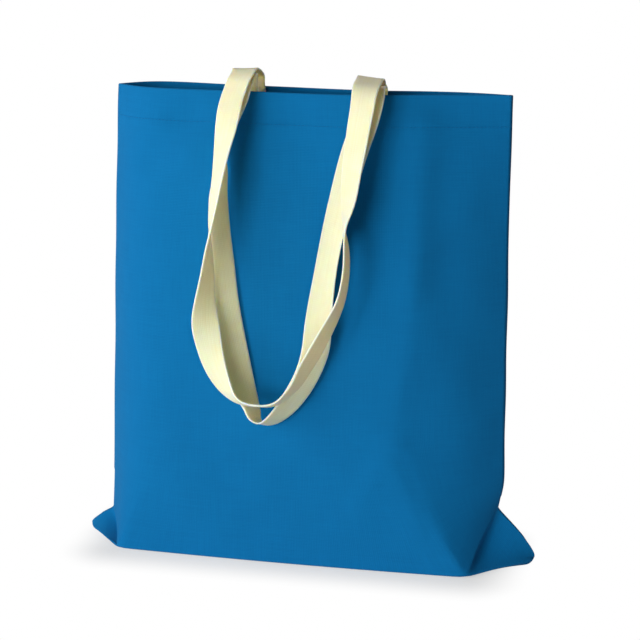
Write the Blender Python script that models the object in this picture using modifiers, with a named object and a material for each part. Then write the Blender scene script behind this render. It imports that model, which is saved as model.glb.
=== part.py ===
"""Cotton tote bag with a boxed bottom and two webbing handles.

Metres, +Z up, front towards -Y. The origin is the middle of the base, on the floor. The body is one
piece of canvas, modelled as a coarse cage that Subdivision Surface rounds and Solidify gives its
thickness, with the doubled hem at the mouth. The bottom corners are folded flat and stand out as two
ears. Each handle is a flat webbing strip that leaves the mouth, falls over the front and twists.
"""

import bmesh
import bpy
import numpy as np
from mathutils import Vector
from mathutils.bvhtree import BVHTree

# Canvas body
bag_height = 0.377
base_width = 0.291
base_depth = 0.0866
canvas_thickness = 0.001
hem_depth = 0.028
hem_layers = 2
hem_step = 0.003

# Ears, the folded bottom corners. The right one stands higher and curls off the floor.
ear_reach_left = 0.038
ear_reach_right = 0.0505
ear_rise_left = 0.021
ear_rise_right = 0.0463
ear_tip_lift_left = 0.0015
ear_tip_lift_right = 0.0055
ear_neck_tuck = 0.0025

# Webbing handles
strap_width = 0.0215
strap_thickness = 0.0015
strap_tail = 0.024
strap_exit = 0.004
exit_lean = 0.0005
seat_gap = 0.0005
strap_steps = 116
strap_columns = 2

# Colours, linear
canvas_blue = (0.005, 0.15, 0.40, 1.0)
webbing_cream = (0.86, 0.78, 0.57, 1.0)

# Heights of the cage's rows, as shares of bag_height. The lowest row climbs where an ear joins.
first_row = 0.1
first_row_climb = 0.55
row_shares = (0.19, 0.30, 0.45, 0.70)

# The lines that the canvas is shaped through, round the bag from the left seam. Each has the share
# of half the base width and of half the base depth where it starts, and then points: share of the
# height, and millimetres to the right and to the back of that start.
LINES = {
    "seam_left": (-1, 0, ((0.06, -17.5, 0), (0.21, -14.5, 0), (0.5, -10.9, 0), (0.86, -6.7, 3), (1, -4.3, 5))),
    "side_front_left": (-1, -0.5, ((0.03, -6.5, 0), (0.27, 2, -5), (0.6, 4, -4), (0.85, 8, 3), (1, 12, 13))),
    "fold_front_left": (-1, -1, ((0, 0, 0), (0.27, 27.5, -1), (0.6, 30.5, 0.5), (0.8, 33.5, 6.5), (1, 38.5, 23))),
    "front_left": (-0.5, -1, ((0, 0, -2.5), (0.27, 0, -2.5), (0.6, 3, -0.5), (0.8, 7, 6), (1, 14.7, 22))),
    "front_middle": (0, -1, ((0, 0, -3.4), (0.27, 0, -3.5), (0.6, -1, -1.5), (0.8, -2, 4), (1, -5, 16.3))),
    "front_right": (0.5, -1, ((0, 0, -2.5), (0.27, -10, -3), (0.6, -14, -1.5), (0.8, -18, 3), (1, -24.7, 12))),
    "fold_front_right": (1, -1, ((0, 0, 0), (0.1, -25, 0), (0.19, -48, 0), (0.3, -60, 0), (0.45, -49, 0),
                                 (0.7, -46, 2.5), (0.85, -46, 11), (1, -43, 27))),
    "side_front_right": (1, -0.5, ((0.06, 5.5, 0), (0.27, -11, -4), (0.6, -9, -4), (0.85, -9, 3), (1, -11.5, 13.2))),
    "seam_right": (1, 0, ((0.12, 18.1, 0), (0.18, 22.5, 0), (0.36, 21.9, 0), (0.6, 21.3, 0), (0.82, 20.9, -1),
                          (1, 21.9, -2))),
    "side_back_right": (1, 0.5, ((0.06, 5.5, 0), (0.27, -6, 4), (0.6, -6, 3), (0.85, -8, -6), (1, -11.5, -12.7))),
    "fold_back_right": (1, 1, ((0, 0, 0), (0.1, -16, 0), (0.27, -30, 1), (0.6, -33, -1), (0.8, -37, -9),
                               (1, -50.5, -34.8))),
    "back_right": (0.5, 1, ((0, 0, 2), (0.27, -5, 4), (0.6, -10, 2), (0.8, -16, -10), (1, -22.7, -42.3))),
    "back_middle": (0, 1, ((0, 0, 2.5), (0.27, 0, 5), (0.6, 0, 2.5), (0.8, -3, -8), (1, -5, -30.8))),
    "back_left": (-0.5, 1, ((0, 0, 2), (0.27, 3, 4), (0.6, 6, 2), (0.8, 10, -5), (1, 14.7, -26.3))),
    "fold_back_left": (-1, 1, ((0, 0, 0), (0.1, 15, 0), (0.27, 27, 1), (0.6, 30, 0), (0.8, 33, -3), (1, 38.5, -13.3))),
    "side_back_left": (-1, 0.5, ((0.03, -6.5, 0), (0.27, 2, 5), (0.6, 4, 4), (0.85, 8, 4), (1, 12, 5))),
}
SEAMS = ("seam_left", "seam_right")

# The routes of the handles, from the tail on the left to the tail on the right. Each station has
# millimetres right of the middle, out in front of the base's front edge and above the rim, then the
# heading and the lift of the webbing's width, in degrees. The tails are worked out from the hem.
BACK_HANDLE = (
    (-40.7, -52.5, 8, 0, 0),
    (-40.3, -45.5, 12, -3, 1),
    (-39, -35, 14.6, -8, 2),
    (-37.2, -25, 16.1, -14, 3),
    (-36.2, -17.3, 16.9, -19, 3),
    (-36.8, -10.3, 14.3, -22, 2),
    (-38.3, -4.8, 9.8, -25, -3),
    (-40.1, -1.3, 3.3, -25, -4),
    (-41.7, 3.2, -4, -23, -1),
    (-42.6, 10.5, -16, -22, 1),
    (-45, 17.5, -37.5, -38, 7),
    (-47, 27, -62.5, -52, 12),
    (-50.5, 33, -91.5, -64, 14),
    (-52.5, 35, -117, -88, 14),
    (-54, 34.5, -135, -102, 13),
    (-57, 32, -161.5, -131, 9),
    (-56.5, 31.5, -175, -158, 1),
    (-54, 31, -191, -182, -9),
    (-48.5, 32, -209, -203, -21),
    (-41.5, 33.5, -221.5, -223, -24),
    (-29.5, 36.5, -232, -249, -21),
    (-13, 38.5, -234.5, -258, -18),
    (-4, 39, -233.5, -258, -19),
    (3, 39, -230.5, -262, -21),
    (9, 38.5, -225, -267, -21),
    (15.5, 37.5, -217.5, -274, -22),
    (22.5, 36.5, -205, -282, -23),
    (30, 35.5, -191.5, -286, -22),
    (37.5, 34.5, -177, -283, -22),
    (44.5, 33.5, -163, -278, -20),
    (50, 32.5, -149.5, -273, -18),
    (53, 31.5, -134.5, -271, -17),
    (54, 30.5, -119, -269, -14),
    (53, 29, -105.5, -265, -14),
    (52, 27.5, -93.5, -253, -14),
    (53, 25.5, -83, -238, -11),
    (54, 23.5, -72.5, -226, -8),
    (55, 20.5, -58, -218, -5),
    (58, 16, -32, -209, -1),
    (60.2, 13.8, -16, -205, -1),
    (61.3, 11.8, -8, -203, 0),
    (61.7, 8.8, -1.5, -203, 2),
    (61.9, 4.5, 3.8, -203, 4),
    (61.7, -2, 7.8, -203, 5),
    (61.4, -11, 10.2, -203, 5),
    (61, -21, 11.9, -202, 4),
    (60.2, -29.5, 11.2, -196, 3),
    (59.5, -35.5, 8.8, -189, 1),
    (59.1, -39.5, 5.8, -184, 0),
)
FRONT_HANDLE = (
    (-38.8, -23.3, 7.5, -3, 0),
    (-38.2, -22.6, 11, -7, 0),
    (-37.7, -19.8, 13.2, -12, 1),
    (-37.6, -15, 12, -13, 1),
    (-38, -11.5, 9, -13, 1),
    (-38.8, -8.2, 4.5, -13, 0),
    (-40.2, -6, -2, -14, 0),
    (-44.5, -3, -15, -20, 0),
    (-46.5, 1, -28.5, -44, 0),
    (-48, 3.5, -41, -70, 6),
    (-49, 5.5, -57, -93, 13),
    (-51.5, 7, -73, -110, 12),
    (-51.5, 8.5, -90.5, -119, 10),
    (-50, 10, -109, -123, 8),
    (-48, 11, -129.5, -128, 5),
    (-46, 11.5, -154.5, -136, 1),
    (-41.5, 12, -184, -140, -2),
    (-36.5, 13, -207.5, -138, -6),
    (-32, 14.5, -224, -129, -9),
    (-28, 16, -234.5, -118, -4),
    (-24.5, 17, -242, -107, -2),
    (-21, 18, -250.5, -96, 3),
    (-16, 18.5, -255, -80, 17),
    (-10, 18.5, -253.5, -87, 29),
    (-4.5, 18, -249.5, -95, 37),
    (1.5, 17.5, -243.5, -109, 38),
    (8.5, 17, -234, -124, 38),
    (16, 16.5, -222, -134, 34),
    (22, 16, -209, -144, 27),
    (26.5, 15.5, -194, -160, 16),
    (28.5, 15, -176, -180, 6),
    (30.5, 14, -156, -197, 0),
    (33.5, 13, -134.5, -207, -2),
    (37, 12, -113.5, -209, -1),
    (41, 11, -94, -207, 1),
    (46, 10, -73.5, -202, 3),
    (51.5, 8.5, -52.5, -195, 7),
    (57, 7, -34, -192, 6),
    (62, 4, -18.5, -192, 3),
    (64.7, 0, -6, -190, 1),
    (65, -3.7, 0, -188, 2),
    (64.4, -7.8, 4.2, -186, 3),
    (63.4, -13, 6, -184, 2),
)


def clear_scene():
    for thing in list(bpy.data.objects):
        bpy.data.objects.remove(thing, do_unlink=True)


def collection(name):
    made = bpy.data.collections.new(name)
    bpy.context.scene.collection.children.link(made)
    return made


def cloth_material(name, colour, roughness):
    material = bpy.data.materials.new(name)
    material.use_nodes = True
    shader = material.node_tree.nodes["Principled BSDF"]
    shader.inputs["Base Color"].default_value = colour
    shader.inputs["Roughness"].default_value = roughness
    shader.inputs["Metallic"].default_value = 0.0
    return material


def on_line(name, height):
    """The point of one of the body's lines at this height."""
    across, deep, points = LINES[name]
    shares, right, back = np.array(points, float).T
    share = height / bag_height
    x = across * base_width / 2 + np.interp(share, shares, right) / 1000
    y = deep * base_depth / 2 + np.interp(share, shares, back) / 1000
    return Vector((x, y, height))


def crease_heights():
    """How high the fold between each line and its ear lies: at the seams, half way down, and nothing."""
    heights = dict.fromkeys(LINES, 0.0)
    for side, rise in (("left", ear_rise_left), ("right", ear_rise_right)):
        heights["seam_" + side] = rise
        heights["side_front_" + side] = rise / 2
        heights["side_back_" + side] = rise / 2
    return heights


def body_cage():
    """The open cage of the body, with its creased edges and the weights that make the hem thicker."""
    cage = bmesh.new()
    creased = []
    names = list(LINES)
    foot = crease_heights()

    low = {}
    for name in names:
        low[name] = cage.verts.new(on_line(name, foot[name]))
    for side, sign in (("left", -1), ("right", 1)):
        for face in ("front", "back"):
            edge_middle = (low["seam_" + side].co + low[f"fold_{face}_{side}"].co) / 2
            edge_middle.x -= sign * ear_neck_tuck
            low[f"side_{face}_{side}"].co = edge_middle

    rows = [low]
    for share in (first_row, *row_shares):
        climb = first_row_climb if share == first_row else 0.0
        rows.append({n: cage.verts.new(on_line(n, share * bag_height + climb * foot[n])) for n in names})
    for height in (bag_height - hem_depth - hem_step, bag_height - hem_depth, bag_height):
        rows.append({n: cage.verts.new(on_line(n, height)) for n in names})

    for below, above in zip(rows, rows[1:]):
        for here, there in zip(names, names[1:] + names[:1]):
            cage.faces.new((below[here], below[there], above[there], above[here]))
        for seam in SEAMS:
            creased.append((below[seam], above[seam], 0.5))

    base = {}
    for place in ("left", "middle", "right"):
        base[place] = cage.verts.new((low["front_" + place].co.x, 0, 0))
    base["start"] = cage.verts.new((-base_width / 2, 0, 0))
    base["end"] = cage.verts.new((base_width / 2, 0, 0))
    front = [low[n] for n in ("fold_front_left", "front_left", "front_middle", "front_right", "fold_front_right")]
    back = [low[n] for n in ("fold_back_left", "back_left", "back_middle", "back_right", "fold_back_right")]
    middle = [base[n] for n in ("start", "left", "middle", "right", "end")]
    for near, far in ((middle, front), (back, middle)):
        for i in range(4):
            cage.faces.new((near[i], near[i + 1], far[i + 1], far[i]))
    for edge in (front, back):
        creased += [(edge[i], edge[i + 1], 0.9) for i in range(4)]

    for side, sign, reach, lift in (
        ("left", -1, ear_reach_left, ear_tip_lift_left),
        ("right", 1, ear_reach_right, ear_tip_lift_right),
    ):
        tip = cage.verts.new((sign * (base_width / 2 + reach), 0, lift))
        top = low["seam_" + side]
        middle_end = base["start"] if side == "left" else base["end"]
        for face in ("front", "back"):
            corner = low[f"fold_{face}_{side}"]
            neck = low[f"side_{face}_{side}"]
            cage.faces.new((tip, corner, neck, top))
            creased += [(tip, corner, 1.0), (corner, neck, 1.0), (neck, top, 1.0)]
        cage.faces.new((tip, low["fold_front_" + side], middle_end, low["fold_back_" + side]))
        creased.append((tip, top, 0.9))

    bmesh.ops.recalc_face_normals(cage, faces=cage.faces)
    crease = cage.edges.layers.float.new("crease_edge")
    for one, other, sharpness in creased:
        cage.edges.get((one, other))[crease] = sharpness

    cage.verts.index_update()
    in_hem = [v.index for row in rows[-2:] for v in row.values()]
    return cage, in_hem


def outward(mesh):
    """True if the open cage's faces point away from the bag: the base's faces look down."""
    lowest = min(mesh.polygons, key=lambda face: face.center.z)
    return lowest.normal.z < 0


def make_body(home, material):
    cage, in_hem = body_cage()
    mesh = bpy.data.meshes.new("bag_body")
    cage.to_mesh(mesh)
    cage.free()
    if not outward(mesh):
        mesh.flip_normals()
    body = bpy.data.objects.new("bag_body", mesh)
    home.objects.link(body)
    mesh.materials.append(material)

    hem = body.vertex_groups.new(name="hem")
    hem.add(in_hem, 1.0, "REPLACE")
    rounding = body.modifiers.new("soft canvas", "SUBSURF")
    rounding.levels = 2
    rounding.render_levels = 2
    wall = body.modifiers.new("cloth", "SOLIDIFY")
    wall.thickness = hem_layers * canvas_thickness
    wall.offset = -1
    wall.vertex_group = "hem"
    wall.thickness_vertex_group = 1 / hem_layers
    mesh.shade_smooth()
    return body


def tree_of(thing):
    bpy.context.view_layer.update()
    return BVHTree.FromObject(thing, bpy.context.evaluated_depsgraph_get())


def inner_face(tree, x, z, panel):
    """Where the inside of a panel lies at x and z: the second surface met on the way in."""
    way = Vector((0, -panel, 0))
    outside = tree.ray_cast(Vector((x, panel, z)), way)[0]
    return tree.ray_cast(outside + way * 1e-5, way)[0].y


def tail_station(tree, x, z, panel, heading):
    """A station of a tail, flat on the inside of a panel's hem. panel is -1 at the front, 1 at the back."""
    spots = np.linspace(-0.5, 0.5, 5) * strap_width
    faces = np.array([inner_face(tree, x + s, z, panel) for s in spots])
    slope = (faces[-1] - faces[0]) / (spots[-1] - spots[0])
    proud = -panel * np.max(-panel * (faces - slope * spots))
    y = proud - panel * (seat_gap + strap_thickness / 2)
    return (x, y, z, heading + np.degrees(np.arctan(slope)), 0.0)


def tail(tree, x, panel, heading):
    """The stations of a tail from its sewn end up to the rim, and one straight on above the rim."""
    depths = strap_tail * np.array((1, 2 / 3, 1 / 3, 1 / 12))
    stations = [tail_station(tree, x, bag_height - depth, panel, heading) for depth in depths]
    low, high = np.array(stations[-2]), np.array(stations[-1])
    above = high + (high - low) * (depths[-1] + strap_exit) / (high[2] - low[2])
    above[1] -= panel * exit_lean
    return stations + [tuple(above)]


def route(tree, stations, panel):
    """The whole list of stations of a handle, with its two tails, in metres and degrees."""
    middle = []
    for right, out, rise, heading, lift in stations:
        y = -base_depth / 2 - out / 1000
        middle.append((right / 1000, y, bag_height + rise / 1000, heading, lift))
    left = tail(tree, middle[0][0], panel, 0)
    right = tail(tree, middle[-1][0], panel, -180)
    return np.array(left + middle + right[::-1])


def smooth_through(stations, count):
    """Values at even steps along the natural cubic spline through the stations."""
    gaps = np.linalg.norm(np.diff(stations[:, :3], axis=0), axis=1)
    at = np.concatenate(([0.0], np.cumsum(gaps)))
    size = len(at)
    left = np.eye(size)
    right = np.zeros_like(stations)
    slopes = np.diff(stations, axis=0) / gaps[:, None]
    for i in range(1, size - 1):
        left[i, i - 1:i + 2] = gaps[i - 1], 2 * (gaps[i - 1] + gaps[i]), gaps[i]
        right[i] = 6 * (slopes[i] - slopes[i - 1])
    bend = np.linalg.solve(left, right)
    where = np.linspace(0, at[-1], count)
    i = np.clip(np.searchsorted(at, where, side="right") - 1, 0, size - 2)
    a = (at[i + 1] - where)[:, None]
    b = (where - at[i])[:, None]
    h = gaps[i][:, None]
    curve = (bend[i] * a**3 + bend[i + 1] * b**3) / (6 * h)
    return curve + (stations[i] / h - bend[i] * h / 6) * a + (stations[i + 1] / h - bend[i + 1] * h / 6) * b


def make_handle(name, stations, panel, body, home, material):
    """A webbing strip: its middle follows the route, and its width is square to the route."""
    line = smooth_through(route(tree_of(body), stations, panel), strap_steps + 1)
    middle = line[:, :3]
    heading, lift = np.radians(line[:, 3:]).T
    along = np.gradient(middle, axis=0)
    along /= np.linalg.norm(along, axis=1)[:, None]
    width = np.stack((np.cos(heading) * np.cos(lift), np.sin(heading) * np.cos(lift), np.sin(lift)), axis=1)
    width -= np.sum(width * along, axis=1)[:, None] * along
    width /= np.linalg.norm(width, axis=1)[:, None]
    across = np.linspace(-0.5, 0.5, strap_columns + 1) * strap_width
    points = middle[:, None, :] + width[:, None, :] * across[None, :, None]

    step = strap_columns + 1
    faces = []
    for i in range(strap_steps):
        for j in range(strap_columns):
            first = i * step + j
            faces.append((first, first + 1, first + 1 + step, first + step))
    mesh = bpy.data.meshes.new(name)
    mesh.from_pydata([tuple(p) for p in points.reshape(-1, 3)], [], faces)
    mesh.materials.append(material)
    handle = bpy.data.objects.new(name, mesh)
    home.objects.link(handle)
    webbing = handle.modifiers.new("webbing", "SOLIDIFY")
    webbing.thickness = strap_thickness
    webbing.offset = 0
    mesh.shade_smooth()
    return handle


def build():
    clear_scene()
    home = collection("cotton_tote_bag")
    canvas = cloth_material("blue_cotton_canvas", canvas_blue, 0.9)
    webbing = cloth_material("natural_cotton_webbing", webbing_cream, 0.85)
    body = make_body(home, canvas)
    make_handle("front_handle", FRONT_HANDLE, -1, body, home, webbing)
    make_handle("back_handle", BACK_HANDLE, 1, body, home, webbing)


build()
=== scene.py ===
import bmesh
import bpy
import numpy as np
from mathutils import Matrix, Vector


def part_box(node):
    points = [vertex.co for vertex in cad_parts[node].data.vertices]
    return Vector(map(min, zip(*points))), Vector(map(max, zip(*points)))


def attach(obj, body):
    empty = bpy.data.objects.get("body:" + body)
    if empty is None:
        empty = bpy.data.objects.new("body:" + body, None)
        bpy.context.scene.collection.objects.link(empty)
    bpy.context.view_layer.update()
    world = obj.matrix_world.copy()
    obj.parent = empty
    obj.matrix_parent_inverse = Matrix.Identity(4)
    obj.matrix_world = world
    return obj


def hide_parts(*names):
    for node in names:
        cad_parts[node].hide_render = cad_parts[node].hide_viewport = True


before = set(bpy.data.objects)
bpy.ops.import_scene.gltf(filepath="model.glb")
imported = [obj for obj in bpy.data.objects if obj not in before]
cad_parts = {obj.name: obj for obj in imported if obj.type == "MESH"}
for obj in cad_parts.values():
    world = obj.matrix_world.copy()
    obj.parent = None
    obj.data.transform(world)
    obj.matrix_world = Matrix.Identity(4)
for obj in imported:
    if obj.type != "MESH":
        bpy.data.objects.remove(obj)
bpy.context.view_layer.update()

# Camera. The photo was taken with a long lens, from a little to the right of the bag's front and a
# little above it. The view aims at a point beside the middle of the base, and the bag stands on z = 0.
camera_azimuth, camera_elevation = np.radians((13.0, 14.0))
camera_distance = 1.49294
camera_focal_length = 101.25
camera_sensor = 36.0
aim_right, aim_up = 0.016213, 0.185817

toward_camera = Vector((
    np.sin(camera_azimuth) * np.cos(camera_elevation),
    -np.cos(camera_azimuth) * np.cos(camera_elevation),
    np.sin(camera_elevation),
))
view_right = Vector((np.cos(camera_azimuth), np.sin(camera_azimuth), 0.0))
view_up = toward_camera.cross(view_right)
camera = bpy.data.objects.new("camera", bpy.data.cameras.new("camera"))
bpy.context.collection.objects.link(camera)
camera.location = view_right * aim_right + view_up * aim_up + toward_camera * camera_distance
camera.rotation_euler = toward_camera.to_track_quat("Z", "Y").to_euler()
camera.data.lens = camera_focal_length
camera.data.sensor_width = camera_sensor
camera.data.clip_start = 0.05
camera.data.clip_end = 50.0
bpy.context.scene.camera = camera

# Canvas body. Two panels of blue plain-weave cotton canvas, front and back, sewn together down both
# sides and along the bottom. The bottom is boxed: its corners are folded flat into ears, so each ear
# carries the side seam on top and the bottom seam underneath. The mouth's hem is turned inwards.
bag_height = 0.377
base_width = 0.291
base_depth = 0.0866
hem_depth = 0.028
hem_step = 0.003
canvas_thickness = 0.0009
rim_radius = 0.001
ear_reach = {side: abs(corner[0]) - base_width / 2
             for side, corner in zip(("left", "right"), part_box("bag_body"))}
ear_rise = {"left": 0.021, "right": 0.0463}
ear_tip_lift = {"left": 0.004, "right": 0.0055}
ear_hollow = {"left": 0.0075, "right": 0.0095}
ear_hollow_place = {"left": 0.12, "right": 0.19}
ear_ridge_fall = 0.82
ear_neck_tuck = 0.0025
ear_nose = 0.14
grid_pitch = 0.003
edge_rows = np.array((0.0, 0.0008, 0.0018, 0.0031, 0.0048))
ear_rows = 30
base_rows = 18

# The lines down the canvas, round the bag from the left seam: the shares of half the base's width and
# depth where each starts, then its points: share of the height, and mm to the right and to the back.
canvas_lines = {
    "seam_left": (-1, 0, ((0.06, -17.5, 0), (0.21, -14.5, 0), (0.5, -10.9, 0), (0.86, -6.7, 3),
                          (1, -4.3, 5))),
    "side_front_left": (-1, -0.5, ((0.03, -6.5, 0), (0.27, 2, -5), (0.6, 4, -4), (0.85, 8, 3),
                                   (1, 12, 13))),
    "fold_front_left": (-1, -1, ((0, 0, 0), (0.27, 27.5, -1), (0.6, 30.5, 0.5), (0.8, 33.5, 6.5),
                                 (1, 38.5, 23))),
    "front_left": (-0.5, -1, ((0, 0, -2.5), (0.27, 0, -2.5), (0.6, 3, -0.5), (0.8, 7, 6), (1, 14.7, 22))),
    "front_middle": (0, -1, ((0, 0, -3.4), (0.27, 0, -3.5), (0.6, -1, -1.5), (0.8, -2, 4), (1, -5, 16.3))),
    "front_right": (0.5, -1, ((0, 0, -2.5), (0.27, -10, -3), (0.6, -14, -1.5), (0.8, -18, 3),
                              (1, -24.7, 12))),
    "fold_front_right": (1, -1, ((0, 0, 0), (0.1, -25, 0), (0.19, -48, 0), (0.3, -60, 0), (0.45, -49, 0),
                                 (0.7, -46, 2.5), (0.85, -46, 11), (1, -43, 27))),
    "side_front_right": (1, -0.5, ((0.06, 5.5, 0), (0.27, -11, -4), (0.6, -9, -4), (0.85, -9, 3),
                                   (1, -11.5, 13.2))),
    "seam_right": (1, 0, ((0.12, 18.1, 0), (0.18, 22.5, 0), (0.36, 21.9, 0), (0.6, 21.3, 0),
                          (0.82, 20.9, -1), (1, 21.9, -2))),
    "side_back_right": (1, 0.5, ((0.06, 5.5, 0), (0.27, -6, 4), (0.6, -6, 3), (0.85, -8, -6),
                                 (1, -11.5, -12.7))),
    "fold_back_right": (1, 1, ((0, 0, 0), (0.1, -16, 0), (0.27, -30, 1), (0.6, -33, -1), (0.8, -37, -9),
                               (1, -50.5, -34.8))),
    "back_right": (0.5, 1, ((0, 0, 2), (0.27, -5, 4), (0.6, -10, 2), (0.8, -16, -10), (1, -22.7, -42.3))),
    "back_middle": (0, 1, ((0, 0, 2.5), (0.27, 0, 5), (0.6, 0, 2.5), (0.8, -3, -8), (1, -5, -30.8))),
    "back_left": (-0.5, 1, ((0, 0, 2), (0.27, 3, 4), (0.6, 6, 2), (0.8, 10, -5), (1, 14.7, -26.3))),
    "fold_back_left": (-1, 1, ((0, 0, 0), (0.1, 15, 0), (0.27, 27, 1), (0.6, 30, 0), (0.8, 33, -3),
                               (1, 38.5, -13.3))),
    "side_back_left": (-1, 0.5, ((0.03, -6.5, 0), (0.27, 2, 5), (0.6, 4, 4), (0.85, 8, 4), (1, 12, 5))),
}
line_names = list(canvas_lines)
corner_lines = ("seam_left", "fold_front_left", "fold_front_right", "seam_right", "fold_back_right",
                "fold_back_left")

# The rows of the net between the foot and the hem, as shares of the height. The first of them also
# lifts by a share of how far the foot below it has risen, over the ears.
first_row_share = 0.1
first_row_lift = 0.55
middle_row_shares = (0.19, 0.30, 0.45, 0.70)

# Where the canvas bends more tightly than a smooth curve through its lines: the share of the way to
# each neighbouring line at which a further line is put in.
tight_bends = {"fold_front_right": 0.28}
columns_of_lines = []
for number, name in enumerate(line_names):
    near = tight_bends.get(name)
    columns_of_lines += [(name, number)] if near is None else [
        (name + " before", number - near), (name, number), (name + " after", number + near)]
column_names = [name for name, _ in columns_of_lines]
column_places = np.array([place for _, place in columns_of_lines])
line_count = len(column_names)
corners = [column_names.index(name) for name in corner_lines]
seams = [column_names.index("seam_left"), column_names.index("seam_right")]


def line_point(name, height):
    """The point of a line at this height, between its given points in straight steps."""
    across, deep, points = canvas_lines[name]
    share, right, back = np.array(points, float).T
    x = across * base_width / 2 + np.interp(height / bag_height, share, right) / 1000
    y = deep * base_depth / 2 + np.interp(height / bag_height, share, back) / 1000
    return np.array((x, y, height))


def control_net():
    """The points that the wall is drawn from: one row round the bag for each height, lowest first. The
    lowest row runs along the base's edges and over the ears' folds, up to where the seams rise."""
    foot = dict.fromkeys(line_names, 0.0)
    for side in ("left", "right"):
        foot["seam_" + side] = ear_rise[side]
        foot["side_front_" + side] = ear_rise[side] / 2
        foot["side_back_" + side] = ear_rise[side] / 2
    low = {name: line_point(name, foot[name]) for name in line_names}
    for side, sign in (("left", -1), ("right", 1)):
        for face in ("front", "back"):
            neck = (low["seam_" + side] + low[f"fold_{face}_{side}"]) / 2
            low[f"side_{face}_{side}"] = neck - (sign * ear_neck_tuck, 0, 0)
    rows = [list(low.values())]
    rows.append([line_point(name, first_row_share * bag_height + first_row_lift * foot[name])
                 for name in line_names])
    for height in (*(share * bag_height for share in middle_row_shares),
                   bag_height - hem_depth - hem_step, bag_height - hem_depth, bag_height):
        rows.append([line_point(name, height) for name in line_names])
    rows = np.array(rows)
    before = np.floor(column_places).astype(int)
    share = (column_places - before)[:, None]
    return rows[:, before] * (1 - share) + rows[:, (before + 1) % len(line_names)] * share


def cubic_weights(t):
    """The four weights of a uniform cubic B-spline at share t of a span."""
    weights = (1 - t)**3, 3 * t**3 - 6 * t**2 + 4, -3 * t**3 + 3 * t**2 + 3 * t + 1, t**3
    return np.stack(weights, axis=-1) / 6


def span_weights(at, count, stops):
    """How much each of count control points weighs at each place. At a stop the curve passes through
    its point and may turn there: the point beyond it is the reflection of the one before it."""
    span = np.clip(np.floor(at).astype(int), 0, count - 1)
    share = cubic_weights(at - span)
    weights = np.zeros((len(at), count))
    row = np.arange(len(at))
    here, after = span % count, (span + 1) % count
    starts, ends = np.isin(here, stops), np.isin(after, stops)
    np.add.at(weights, (row, here), share[:, 1] + 2 * starts * share[:, 0])
    np.add.at(weights, (row, after), share[:, 2] + 2 * ends * share[:, 3])
    before_start = np.where(starts, after, (span - 1) % count)
    beyond_end = np.where(ends, here, (span + 2) % count)
    np.add.at(weights, (row, before_start), np.where(starts, -1, 1) * share[:, 0])
    np.add.at(weights, (row, beyond_end), np.where(ends, -1, 1) * share[:, 3])
    return weights


net = control_net()
net_rows = len(net)


def wall_surface(around, up):
    """Points of the wall: a cubic B-spline surface on the net. Every row turns sharply at the seams,
    and the lowest one at the base's corners too."""
    sharp = span_weights(around, line_count, corners)
    smooth = span_weights(around, line_count, seams)
    up = np.clip(up, 0, net_rows - 1 - 1e-9)
    rows = span_weights(up, net_rows, [0, net_rows - 1])
    curves = np.concatenate(([sharp @ net[0]], np.einsum("ac,rcx->rax", smooth, net[1:])))
    return np.einsum("vr,rax->vax", rows, curves)


def even_places(length_at, places, pitch):
    """Places along a curve at even steps of about one pitch, from its lengths at many places."""
    steps = max(1, int(round(length_at[-1] / pitch)))
    return np.interp(np.linspace(0, length_at[-1], steps + 1), length_at, places)


def lengths_along(points):
    """How far along a run of points each of them is."""
    return np.concatenate(([0.0], np.cumsum(np.linalg.norm(np.diff(points, axis=0), axis=-1))))


# Lengths round the bag are measured at one row of the net, half way up. Lengths up it are the mean of
# those at two places on the front panel and at the middle of the back.
measured_row = 4.5
measured_columns = (3.5, 4.5, line_count - 4.0)
places_round = 200
places_up = 400

around = []
stops = corners + [line_count]
for first, last in zip(stops, stops[1:]):
    fine = np.linspace(first, last, places_round)
    middle_of_height = wall_surface(fine, np.array((measured_row,)))[0]
    around.append(even_places(lengths_along(middle_of_height), fine, grid_pitch)[:-1])
column_of = dict(zip(corner_lines, np.cumsum([0] + [len(part) for part in around[:-1]])))
around = np.concatenate(around + [[line_count]])
fine = np.linspace(0, net_rows - 1, places_up)
climb = lengths_along(wall_surface(np.array(measured_columns), fine).mean(axis=1))
heights_up = np.concatenate((edge_rows[:-1], np.arange(edge_rows[-1], climb[-1] - rim_radius, grid_pitch),
                             (climb[-1] - rim_radius,)))
up = np.interp(heights_up, climb, fine)
wall = wall_surface(around, up)


def normals_of(grid):
    """Unit normals of a grid of points: across the rows and columns. They point out of the bag."""
    normal = np.cross(np.gradient(grid, axis=1), np.gradient(grid, axis=0))
    return normal / np.linalg.norm(normal, axis=-1)[..., None]


# Dents and folds in the canvas: from x, z to x, z in mm, half width and height in mm. They are drawn
# on the panel whose sign is given first: -1 is the front.
canvas_folds = (
    (-1, -114, 322, -80, 358, 12, -1.8),
    (-1, 103, 377, 99, 230, 13, 2.2),
    (-1, -110, 352, -70, 316, 12, 0.8),
    (-1, -100, 60, -60, 18, 16, 0.7),
    (-1, -30, 12, 60, 16, 7, -0.5),
    (-1, 60, 60, 84, 110, 10, 0.8),
    (-1, 118, 34, 92, 92, 6, -0.9),
    (-1, 20, 330, 44, 250, 18, -0.7),
    (-1, 120, 330, 128, 200, 14, -0.8),
    (1, -90, 330, -40, 240, 20, -1.2),
    (1, 30, 340, 70, 230, 18, -1.0),
    (1, -60, 40, 40, 30, 14, 0.9),
    (1, 100, 80, 120, 40, 9, -1.0),
)

# Slow waves in the canvas: mm to a turn to the right and upwards, phase, height in mm. Folds and waves
# fade out within some mm of the floor and of the rim, where a little of them is left.
canvas_waves = ((61, 143, 0.4, 0.18), (-97, 88, 2.1, 0.16), (47, -71, 4.0, 0.12))
fade_above_floor = 25
fade_below_rim = 20
left_at_rim = 0.15
panel_facing = 1.5


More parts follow.
